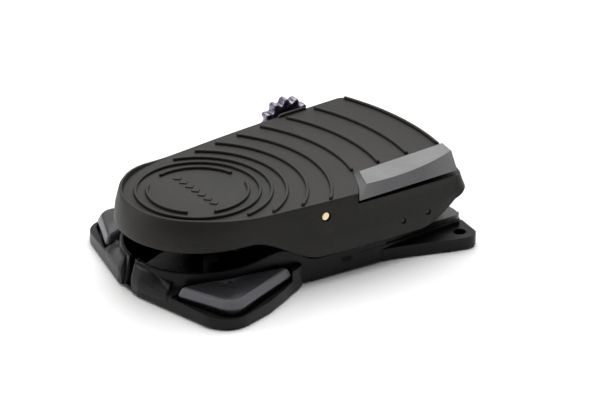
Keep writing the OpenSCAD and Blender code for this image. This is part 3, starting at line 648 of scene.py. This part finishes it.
def tread_underside():
    """Bosses, spring cups, stop posts and stiffeners moulded under the floor."""
    low = FLOOR_Z - FLOOR_T
    bore = AXLE_R + 0.02
    boss = [(bore, 0), (7.1, 0), (7.5, 0.4), (7.5, 9.9), (7.1, 10.3), (bore, 10.3), (bore, 0)]
    cup = [(7.55, -5), (9.3, -5), (9.5, -4.8), (9.5, 0.5), (7.5, 0.5), (7.5, -4.8), (7.55, -5)]
    parts = []
    for s in (-1, 1):
        x = AXLE_ENDS - 11.5 if s > 0 else -AXLE_ENDS + 1.2
        parts.append(turned("boss", boss, (x, PIVOT_BACK, PIVOT_Z), "x"))
        x0 = AXLE_ENDS - 9 if s > 0 else -AXLE_ENDS + 3
        parts.append(cuboid("gusset", x0, x0 + 6, PIVOT_BACK - 2, PIVOT_BACK + 2, PIVOT_Z + 6, low + 0.5))
        parts.append(turned("cup", cup, (0, PIVOT_BACK + s * SPRING_Y, low), "z"))
        for y, z in ((PIVOT_BACK - STOP_Y, 25), (PIVOT_BACK + STOP_Y, 39)):
            parts.append(pin("post", (s * STOP_X, y, z), 4.5, low + 0.5 - z, "z", 0.5))
        parts.append(cuboid("rail", s * 40 - 1, s * 40 + 1, -20, 112, low - 9, low + 0.5))
    parts.append(cuboid("cross", -40, 40, 20, 22, low - 9, low + 0.5))
    parts.append(cuboid("cross", -40, 40, 118, 120, low - 7, low + 0.5))
    for y, z in SIDE_PINS:
        parts.append(turned("pin_boss", [(1.92, 0), (3.8, 0), (4, 0.2), (4, 6.6), (1.92, 6.6), (1.92, 0)],
                            (half_w(y) - 7, y, z), "x", 40))
    parts.append(turned("wheel_boss", [(5.02, 0), (7.5, 0), (7.5, 8.4), (7.1, 8.8), (5.02, 8.8), (5.02, 0)],
                        (-half_w(WHEEL_Y) + 0.2, WHEEL_Y, WHEEL_Z), "x"))
    return joined("tread_underside", parts)


def wheel_guard():
    """Low flat guard on the tread edge above the speed wheel."""
    half = [(11, 3.4), (12.4, 3.2), (13.8, 2.5), (14.9, 1.4), (15.5, 0.1), (15.5, -1)]
    arch = [(-u, h) for u, h in reversed(half)] + half
    rows = []
    c, s = math.cos(math.radians(FLARE_TOE)), math.sin(math.radians(FLARE_TOE))
    x, y = -half_w(WHEEL_Y) + 0.4, WHEEL_Y
    for d in (0.0, 2.4):
        row = []
        for u, h in arch:
            row.append((x + d * c - u * s, y + u * c + d * s, FLOOR_Z - 1 + h))
        rows.append(row)
    return loft("wheel_guard", rows, ends="flat")


def wedge_rows():
    """Cross sections of the side button from heel to toe, starting on the arc of its tray."""
    x_in, x_out, low = WEDGE_X, 79.8, 65.4
    groove = ((76, low), (72, 68.2), (48, 68.2), (46.5, low))

    def hollow(y_out, y_in):
        return [(x, mix(y_in, y_out, (x - x_in) / (x_out - x_in)), z) for x, z in groove]
    face = [(47, 124.3, 72), (68.5, 116, 71.3), (60, 208.2, 72.4), (46, 209.5, 73.6)]
    rows = [[(x_in, 120.8, 70.2), (47, 119.7, 70.4), (69, 108.5, 69.4), (x_out, 100.8, 65.6),
             *hollow(100.8, 120.8), (x_in, 120.8, low)]]
    for i in range(25):
        t = i / 24
        o = [mix(face[1][j], face[2][j], t) for j in range(3)]
        n = [mix(face[0][j], face[3][j], t) for j in range(3)]
        sag = 24 * t * (1 - t)
        y_out, y_in = mix(101, 199, t), mix(121, 210.4, t)
        rows.append([(x_in, n[1], n[2] - 1.2), tuple(n), (o[0] + sag, o[1], o[2]),
                     (x_out, y_out, low), *hollow(y_out, y_in), (x_in, y_in, low)])
    return rows


def side_wedge():
    return loft("side_wedge", wedge_rows(), ends="flat")


def wedge_panel():
    """Brushed upper face of the side button, finished pale as a painted highlight."""
    rows = []
    for r in wedge_rows()[1:]:
        n, o = Vector(r[1]), Vector(r[2])
        d = (o - n).normalized() * 0.55
        a, b = n + d, o - d
        rows.append([(v.x, v.y, v.z + h) for v, h in ((a, -0.6), (a, 0.12), (b, 0.12), (b, -0.6))])
    return loft("wedge_panel", rows, ends="flat")


# ---------------------------------------------------------------- base
def base_half(y):
    """Half width of the base tub at y."""
    spread = min(y, 60) * TAN_F + max(0.0, min(y, 120) - 60) * 0.075
    return BASE_R / math.cos(math.radians(FLARE_HEEL)) + spread


def recess(y):
    """How far the tub steps in beside the mounting tabs."""
    return 4.2 * smooth((y - 132) / 6)


def base_outline():
    side = []
    for i in range(44):
        a = math.radians(-90 + i * 83.6 / 44)
        side.append((BASE_R * math.cos(a), BASE_R * math.sin(a), math.cos(a), math.sin(a)))
    nx, ny = math.cos(math.radians(FLARE_HEEL)), -math.sin(math.radians(FLARE_HEEL))
    y0 = BASE_R * ny
    for i in range(121):
        y = y0 + i * (DECK_END - 5 - y0) / 120
        side.append((base_half(y) - recess(y), y, nx, ny if y < 60 else 0.0))
    cx, cy = base_half(DECK_END) - recess(DECK_END) - 5, DECK_END - 5
    for i in range(1, 9):
        a = math.radians(i * 90 / 9)
        side.append((cx + 5 * math.cos(a), cy + 5 * math.sin(a), math.cos(a), math.sin(a)))
    return side + [(0.0, DECK_END, 0.0, 1.0)] + mirror_line(side)


BASE_LINE = base_outline()


def base_tub():
    columns = []
    for p in BASE_LINE:
        t = wall_top(p[1])
        f = 0.6 + 3 * (1 - smooth(p[1] / 50))
        columns.append([off(p, f - 0.8, BASE_Z), off(p, f, BASE_Z + 0.8),
                        off(p, f * 0.5, mix(BASE_Z, t, 0.5)), off(p, 0, t - 1.3), off(p, -0.12, t - 0.6),
                        off(p, -0.5, t - 0.15), off(p, -1.1, t), off(p, -2.2, t), off(p, -2.75, t - 0.3),
                        off(p, -WALL_T, t - 1), off(p, -WALL_T, BASE_Z)])
    rows = [[c[k] for c in columns] for k in range(len(columns[0]))]
    tub = loft("base_tub", rows, ring=True)
    slot = cuboid("c", -4.2, 4.2, -80, -BASE_R + 5, BASE_Z + WALL_T, 40)
    side_cut = prism("c", [(-9, -70), (-4, -70), (-4, -62.2)], BASE_Z + WALL_T, 40)
    return combine(tub, [slot, side_cut])


def slot_stop():
    """Small stop beside the heel slot."""
    return prism("slot_stop", [(4.25, -62.9), (8, -62.5), (8, -59.4), (4.25, -59.4)], BASE_Z, 29.8)


def base_floor():
    """Well floor, deck and inner walls, as one plate set inside the tub."""
    inner = [(p[0] - p[2], p[1] - p[3]) for p in BASE_LINE]
    well = [q for q in inner if q[1] < 60]
    top = [q for q in inner if q[1] >= 58]
    parts = [prism("well_floor", well, BASE_Z, BASE_Z + WALL_T),
             prism("deck", top, DECK_Z - WALL_T, DECK_Z - 0.15)]
    hw = base_half(58) - 1.5
    parts.append(cuboid("well_wall", -hw, hw, 58, 61, BASE_Z, DECK_Z - 1))
    for s in (-1, 1):
        x0, x1 = sorted((s * 62.3, s * 71))
        parts.append(cuboid("bay_side", x0, x1, 61, 206, BASE_Z, BASE_Z + WALL_T))
    parts.append(cuboid("bay_heel", -62.4, 62.4, 61, 66, BASE_Z, BASE_Z + WALL_T))
    parts.append(cuboid("bay_toe", -62.4, 62.4, 200, 206, BASE_Z, BASE_Z + WALL_T))
    return joined("base_floor", parts)


def base_flange(name, z0, z1, shift):
    """Layer of the stepped deck; shift moves its sides outward."""
    pts = []
    for x, y, *_ in BASE_LINE:
        if y > 84:
            sx = 1 if x > 0 else (-1 if x < 0 else 0)
            out = recess(y) + 0.4 * smooth((y - 84) / 10) + shift * smooth((y - 100) / 30)
            pts.append((x + sx * out, y + (0.5 + shift if y > DECK_END - 0.1 else 0)))
    return prism(name, pts, z0, z1)


def axle_posts():
    parts = []
    for s in (-1, 1):
        x0 = s * 55 - 3.5
        rows = []
        for x in (x0, x0 + 7):
            row = [(x, PIVOT_BACK - 15, DECK_Z - 1), (x, PIVOT_BACK + 15, DECK_Z - 1)]
            for i in range(21):
                a = math.radians(-15 + i * 210 / 20)
                row.append((x, PIVOT_BACK + 8.5 * math.cos(a), PIVOT_Z + 8.5 * math.sin(a)))
            rows.append(row)
        post = loft("axle_post", rows, ends="flat")
        parts.append(combine(post, [plain("c", (x0 - 1, PIVOT_BACK, PIVOT_Z), 5.0, 9, "x")]))
        for y in (PIVOT_BACK - 10, PIVOT_BACK + 7):
            a, b = sorted((s * 38, s * 52))
            parts.append(cuboid("gusset", a, b, y, y + 3, DECK_Z - 1, DECK_Z + 14))
    parts.append(pin("seat", (0, PIVOT_BACK + SPRING_Y, DECK_Z - 1), 4.8, 4, "z", 0.6))
    parts.append(pin("seat", (0, PIVOT_BACK - SPRING_Y, BASE_Z + 1), 4.8, 5, "z", 0.6))
    return joined("axle_posts", parts)


# ---------------------------------------------------------------- heel pods and buttons
POD_C, POD_R = (76.6, -25.9), 24.7
# discs (x, y, radius) whose hull outlines the button at its foot and at its top
LOW = [(54.2, -51.2, 2.6), (73.6, 35, 3.0), (83, -25.5, 15.0)]
TOP = [(55.6, -48.6, 1.4), (73.4, 31, 1.8), (82.4, -24.8, 12.2)]
CAP_LOW = 14.8


def across(p):
    """Distance outward over the button, from about its inner edge."""
    return p[0] * 0.96 - p[1] * 0.278 - 65


def cap_top(p):
    return 23.0 - 0.03 * across(p)


def around(discs, grow=0.0):
    """Outline of the convex hull of discs, one point for each direction."""
    pts = []
    n = 120
    for i in range(n):
        a = 2 * math.pi * i / n
        d = (math.cos(a), math.sin(a))
        x, y, r = max(discs, key=lambda q: q[0] * d[0] + q[1] * d[1] + q[2])
        pts.append((x + (r + grow) * d[0], y + (r + grow) * d[1]))
    return pts


def between(t):
    return [tuple(mix(a[j], b[j], t) for j in range(3)) for a, b in zip(LOW, TOP)]


def mirrored(o, name):
    """Copy of o on the other side of the centreline."""
    c = o.copy()
    c.data = o.data.copy()
    c.name = c.data.name = name
    bm = bmesh.new()
    bm.from_mesh(c.data)
    for v in bm.verts:
        v.co.x = -v.co.x
    bmesh.ops.reverse_faces(bm, faces=bm.faces)
    bm.to_mesh(c.data)
    bm.free()
    scene.collection.objects.link(c)
    return c


def wall_cut(d):
    """Cutter that follows the curved base wall at distance d."""
    return prism("c", [(p[0] + d * p[2], p[1] + d * p[3]) for p in BASE_LINE if p[1] < 90], 0, 60)


def heel_cap(name):
    rows = [[(x, y, CAP_LOW) for x, y in around(LOW, -1.6)],
            [(x, y, CAP_LOW) for x, y in around(LOW, -0.35)],
            [(x, y, CAP_LOW + 0.35) for x, y in around(LOW)],
            [(x, y, CAP_LOW + 1.6) for x, y in around(LOW)]]
    n = 10
    for i in range(1, n + 1):
        # flank that leans in, then rolls over into the top face
        t = i / n
        line = around(between(min(1.0, t * 1.06)), -1.2 * smooth((t - 0.72) / 0.28))
        rows.append([(x, y, mix(CAP_LOW + 1.6, cap_top((x, y)), 1 - (1 - t) ** 1.45)) for x, y in line])
    cap = combine(loft(name, rows, ends="flat"), [wall_cut(2.9)])
    cap.name = cap.data.name = name
    return cap


def cap_mark(name):
    """Small raised three-blade mark on the top face of the cap."""
    c, s = math.cos(math.radians(-16.15)), math.sin(math.radians(-16.15))
    parts = []

    def blob(cx, cy, rx, ry, turn):
        rows = []
        for h, k in ((-0.4, 1.0), (0.16, 1.0), (0.3, 0.82)):
            row = []
            for i in range(28):
                a = 2 * math.pi * i / 28
                u, v = rx * k * math.cos(a), ry * k * math.sin(a)
                u, v = (cx + u * math.cos(turn) - v * math.sin(turn),
                        cy + u * math.sin(turn) + v * math.cos(turn))
                x, y = 73 + u * c - v * s, -20 + u * s + v * c
                row.append((x, y, cap_top((x, y)) + h))
            rows.append(row)
        parts.append(loft("blade", rows, ends="flat"))
    blob(0, 0, 1.6, 1.6, 0)
    for a in (30, 150, 270):
        t = math.radians(a)
        blob(4.8 * math.cos(t), 4.8 * math.sin(t), 3.3, 2.0, t + 0.35)
    return joined(name, parts)


def pod_top(p):
    """Height of the gently sloping top of the pod."""
    return 16.4 - 0.06 * p[0] + 0.01 * p[1]


def heel_pod(name):
    arc = [(POD_C[0] + POD_R * math.cos(math.radians(a)), POD_C[1] + POD_R * math.sin(math.radians(a)))
           for a in [-76 + i * 90 / 32 for i in range(33)]]
    plan = [(18, -50), (14, -66.8), *arc, (94.6, 4), (85, 25.5), (71.8, 51), (60, 52)]
    foot = [(x * 1.006, y - 0.3, BASE_Z + 0.8) for x, y in plan]
    low = [(x * 1.003, y, BASE_Z) for x, y in plan]
    pod = loft("pod", [low, foot, [(x, y, pod_top((x, y))) for x, y in plan]], ends="flat")
    tops = {(14.6, -66.2): 14.6, (49, -57.7): 14.2, (52, -45): 18.3, (16, -50): 18.3}
    ledge = prism("ledge", list(tops), BASE_Z, lambda q: tops[q])
    corner = [(60, 28), (78.5, 37), (77, 43), (72.6, 50.5), (60, 51.5)]
    frame_block = prism("block", corner, BASE_Z, DECK_Z - 0.2)
    body = combine(pod, [ledge, frame_block], "UNION")
    pocket = combine(prism("pocket", around(LOW, 1.5), BASE_Z + 1.6, 60), [wall_cut(1.2)])
    well = [(p[0] - 3.3 * p[2], p[1] - 3.3 * p[3]) for p in BASE_LINE]
    hollow = prism("well", [q for q in well if q[1] < 59], BASE_Z + WALL_T, 60)
    body = combine(body, [pocket, hollow])
    body.name = body.data.name = name
    return body


def heel_fairing(name, x0):
    """Smooth flank between the tub rim beside the slot and the straight foot of the pod."""
    rows = []
    for i in range(21):
        t = i / 20
        x = mix(x0, 45.5, t)
        y = -67.0 + 0.253 * max(0.0, x - 14.4)
        rx = mix(x0, 38, t)
        ry = -math.sqrt(BASE_R ** 2 - rx * rx)
        z = wall_top(ry) - 1.3 - 6.5 * smooth((t - 0.45) / 0.55)
        rows.append([(x, y, BASE_Z + 0.5), (x, y, mix(12, 14.6, t)),
                     (mix(x, rx, 0.12), mix(y, ry, 0.12), mix(16, 16.4, t)),
                     (mix(x, rx, 0.7), mix(y, ry, 0.7), mix(24, 20.5, t)), (rx, ry - 0.15, z),
                     (rx * 0.965, ry * 0.965, z - 0.6), (rx * 0.965, ry * 0.965, BASE_Z + 0.2)])
    return loft(name, rows, ends="flat")


def mounting_tab(name):
    plan = [(62, 128), (75.2, 128), (76.7, 136), (82, 153), (88, 171), (93.5, 186), (97, 199), (97.3, 204),
            (95.5, 208), (91.5, 211), (70, 214), (60, 211), (60, 196)]
    tab = prism(name, plan, BASE_Z, TAB_Z)
    hole = plain("c", (TAB_X, TAB_Y, 0), 2.6, 20)
    head_recess = plain("c", (TAB_X, TAB_Y, BASE_Z + 3.4), 5.2, 20)
    return combine(tab, [hole, head_recess])


# ---------------------------------------------------------------- speed wheel
def speed_wheel():
    """Fluted wheel with a stepped hub face."""
    teeth, n = 13, 13 * 20

    def ring(r0, depth, x):
        row = []
        for i in range(n):
            a = 2 * math.pi * i / n
            w = math.cos(a * teeth)
            w = math.copysign(abs(w) ** 0.75, w)
            r = r0 - depth + depth * w
            row.append((x, WHEEL_Y + r * math.sin(a), WHEEL_Z + r * math.cos(a)))
        return row

    def plain_ring(r, x):
        return [(x, WHEEL_Y + r * math.sin(2 * math.pi * i / n), WHEEL_Z + r * math.cos(2 * math.pi * i / n))
                for i in range(n)]
    x0, x1 = -WHEEL_X, -WHEEL_X - WHEEL_W
    hollow = [(3.1, 0), (8, 0), (8, -3), (17, -3), (17.2, 0)]
    face = [(19.2, 0), (18.6, 0.4), (18, 2), (12.4, 2), (12, 1.4), (12, 0), (10.2, -1.3), (9.6, -1.6),
            (4.4, -1.6), (4.0, -1.2), (4.0, 0.6), (3.1, 0.6)]
    rows = [plain_ring(r, x0 + d) for r, d in hollow]
    rows += [ring(WHEEL_R - 1.2, 1.9, x0), ring(WHEEL_R - 0.35, 2.2, x0 - 0.35), ring(WHEEL_R, 2.3, x0 - 1.3),
             ring(WHEEL_R, 2.3, x1 + 1.6), ring(WHEEL_R - 0.5, 2.2, x1 + 0.5), ring(WHEEL_R - 1.5, 1.9, x1)]
    rows += [plain_ring(r, x1 + d) for r, d in face]
    return loft("fluted_wheel", rows, ring=True)


# ---------------------------------------------------------------- springs
def spring(node, wire, turns):
    """Coil with closed ends, built in place of the CAD node, which it hides."""
    a, b = [Vector((v[0] * 1000, v[1] * 1000 + PIVOT_BACK, v[2] * 1000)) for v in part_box(node)]
    cx, cy, r = (a.x + b.x) / 2, (a.y + b.y) / 2, (b.x - a.x) / 2 - wire / 2
    height, closed, rows = b.z - a.z - wire, wire * 1.04, []
    for i in range(28 * turns + 1):
        turn = i / 28
        if turn < 1:
            z = turn * closed
        elif turn > turns - 1:
            z = height - (turns - turn) * closed
        else:
            z = mix(closed, height - closed, (turn - 1) / (turns - 2))
        ring = []
        for k in range(10):
            u = 2 * math.pi * k / 10
            q = r + wire / 2 * math.cos(u)
            ring.append((cx + q * math.cos(2 * math.pi * turn), cy + q * math.sin(2 * math.pi * turn),
                         a.z + wire / 2 + z + wire / 2 * math.sin(u)))
        rows.append(ring)
    o = loft(node + "_coil", rows)
    o.data.materials.append(BLUED)
    for p in o.data.polygons:
        p.use_smooth = True
    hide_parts(node)
    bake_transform(o)


# ---------------------------------------------------------------- stage
def make_stage():
    mat = bpy.data.materials.new("pale_floor")
    n = Nodes(mat)
    tone = n.ramp(n.noise(3.0, detail=2), [(0.3, 0.86), (0.7, 0.88)])
    n.set(Base_Color=tone, Roughness=n.math("ADD", n.math("MULTIPLY", n.noise(40), 0.1), 0.5),
          Normal=n.bump(n.noise(300), 0.02, 0.0005))
    me = bpy.data.meshes.new("floor")
    s = 6.0
    me.from_pydata([(-s, -s, 0), (s, -s, 0), (s, s, 0), (-s, s, 0)], [], [(0, 1, 2, 3)])
    o = bpy.data.objects.new("floor", me)
    o.data.materials.append(mat)
    scene.collection.objects.link(o)

    def area(name, where, aim, size, power, colour=(1, 1, 1)):
        light = bpy.data.lights.new(name, "AREA")
        light.shape, light.size, light.size_y = "RECTANGLE", size[0], size[1]
        light.energy, light.color = power, colour
        lamp = bpy.data.objects.new(name, light)
        lamp.location = where
        lamp.rotation_mode = "QUATERNION"
        lamp.rotation_quaternion = (Vector(aim) - Vector(where)).to_track_quat("-Z", "Y")
        scene.collection.objects.link(lamp)
    area("overhead", (-0.3, 0.3, 1.5), (0, 0, 0), (2.4, 2.4), 52)
    area("heel_left", (-0.7, -1.1, 0.5), (0, 0, 0.03), (0.4, 0.7), 5, (1, 0.96, 0.93))
    # studio walls: bright behind the toe, dim behind the viewer
    world = bpy.data.worlds.new("studio")
    world.use_nodes = True
    tree = world.node_tree
    bg = tree.nodes["Background"]
    coord = tree.nodes.new("ShaderNodeTexCoord")
    dot = tree.nodes.new("ShaderNodeVectorMath")
    dot.operation = "DOT_PRODUCT"
    dot.inputs[1].default_value = (-0.81, 0.58, 0.1)
    ramp = tree.nodes.new("ShaderNodeValToRGB")
    for e, (pos, v) in zip(ramp.color_ramp.elements, ((0.15, 0.14), (0.75, 0.62))):
        e.position = pos
        e.color = (v, v, v, 1)
    tree.links.new(coord.outputs["Generated"], dot.inputs[0])
    tree.links.new(dot.outputs["Value"], ramp.inputs[0])
    tree.links.new(ramp.outputs[0], bg.inputs[0])
    bg.inputs[1].default_value = 1.0
    scene.world = world
    scene.view_settings.view_transform = "Standard"


# ---------------------------------------------------------------- assembly
make_camera()
make_stage()

finish_piece(tread_shell(), "pedal", "tread_plastic", "foot_plate", round_mm=0.3)
finish_piece(tread_ribs(), "pedal", "tread_plastic", "foot_plate", round_mm=0)
finish_piece(tread_badge(), "pedal", "tread_plastic", "foot_plate", round_mm=0.35)
finish_piece(tray(), "pedal", "tread_plastic", "foot_plate", round_mm=0.25)
finish_piece(tread_underside(), "pedal", "tread_plastic", "foot_plate", round_mm=0)
finish_piece(wheel_guard(), "pedal", "tread_plastic", "foot_plate", round_mm=0.5)
finish_piece(side_wedge(), "side", "button_plastic", "side_button", round_mm=0.7, angle=20)
# pale panel: painted highlight on the top face of the side button
finish_piece(wedge_panel(), "side", "button_plastic", "side_button", round_mm=0.1, mat=BRUSHED_PAINTED_HIGHLIGHT)

finish_piece(base_tub(), "base", "housing_plastic", "base_housing", round_mm=0.3)
finish_piece(slot_stop(), "base", "housing_plastic", "base_housing", round_mm=0.5)
finish_piece(base_floor(), "base", "housing_plastic", "base_housing", round_mm=0.3)
# deck top: painted shade under the skirt, painted reflection at the toe
finish_piece(base_flange("deck_top", 9, DECK_Z + 0.05, -1.4), "base", "housing_plastic", "base_housing",
             round_mm=0.8, mat=DECK_PAINTED_LIGHT)
finish_piece(base_flange("deck_ledge", 9.5, 15.4, 0), "base", "housing_plastic", "base_housing", round_mm=0.6)
finish_piece(axle_posts(), "base", "housing_plastic", "base_housing", round_mm=0.4)
pod = heel_pod("right_pod")
pod_left = mirrored(pod, "left_pod")
fairing = heel_fairing("right_fairing", 4.4)
seed = heel_fairing("fairing_seed", 9.5)
fairing_left = mirrored(seed, "left_fairing")
bpy.data.objects.remove(seed)
tab = mounting_tab("right_tab")
tab_left = mirrored(tab, "left_tab")
for o in (pod, pod_left):
    finish_piece(o, "base", "housing_plastic", "base_housing", round_mm=0.8)
for o in (fairing, fairing_left):
    finish_piece(o, "base", "housing_plastic", "base_housing", round_mm=0)
for o in (tab, tab_left):
    finish_piece(o, "base", "housing_plastic", "base_housing", round_mm=1.0)

cap = heel_cap("right_button")
mark = cap_mark("right_mark")
cap_left, mark_left = mirrored(cap, "left_button"), mirrored(mark, "left_mark")
finish_piece(cap, "heel_right", "button_plastic", "right_cap", round_mm=0)
finish_piece(mark, "heel_right", "button_plastic", "right_cap", round_mm=0, mat=MARK)
finish_piece(cap_left, "heel_left", "button_plastic", "left_cap", round_mm=0)
finish_piece(mark_left, "heel_left", "button_plastic", "left_cap", round_mm=0, mat=MARK)
finish_piece(speed_wheel(), "wheel", "wheel_chrome", "speed_wheel", round_mm=0)

spring("rock_spring_toe", 1.6, 8)
spring("rock_spring_heel", 1.6, 10)
spring("right_spring", 0.9, 4)
spring("left_spring", 0.9, 4)
spring("side_spring", 0.8, 5)

# every CAD node that still shows gets the finish of its slot
slots = {part["node"]: part["material_slot"] for part in frame["record"]["subparts"]}
for name, node in frame["nodes"].items():
    node.data.materials.clear()
    node.data.materials.append(MATS[slots[name]])
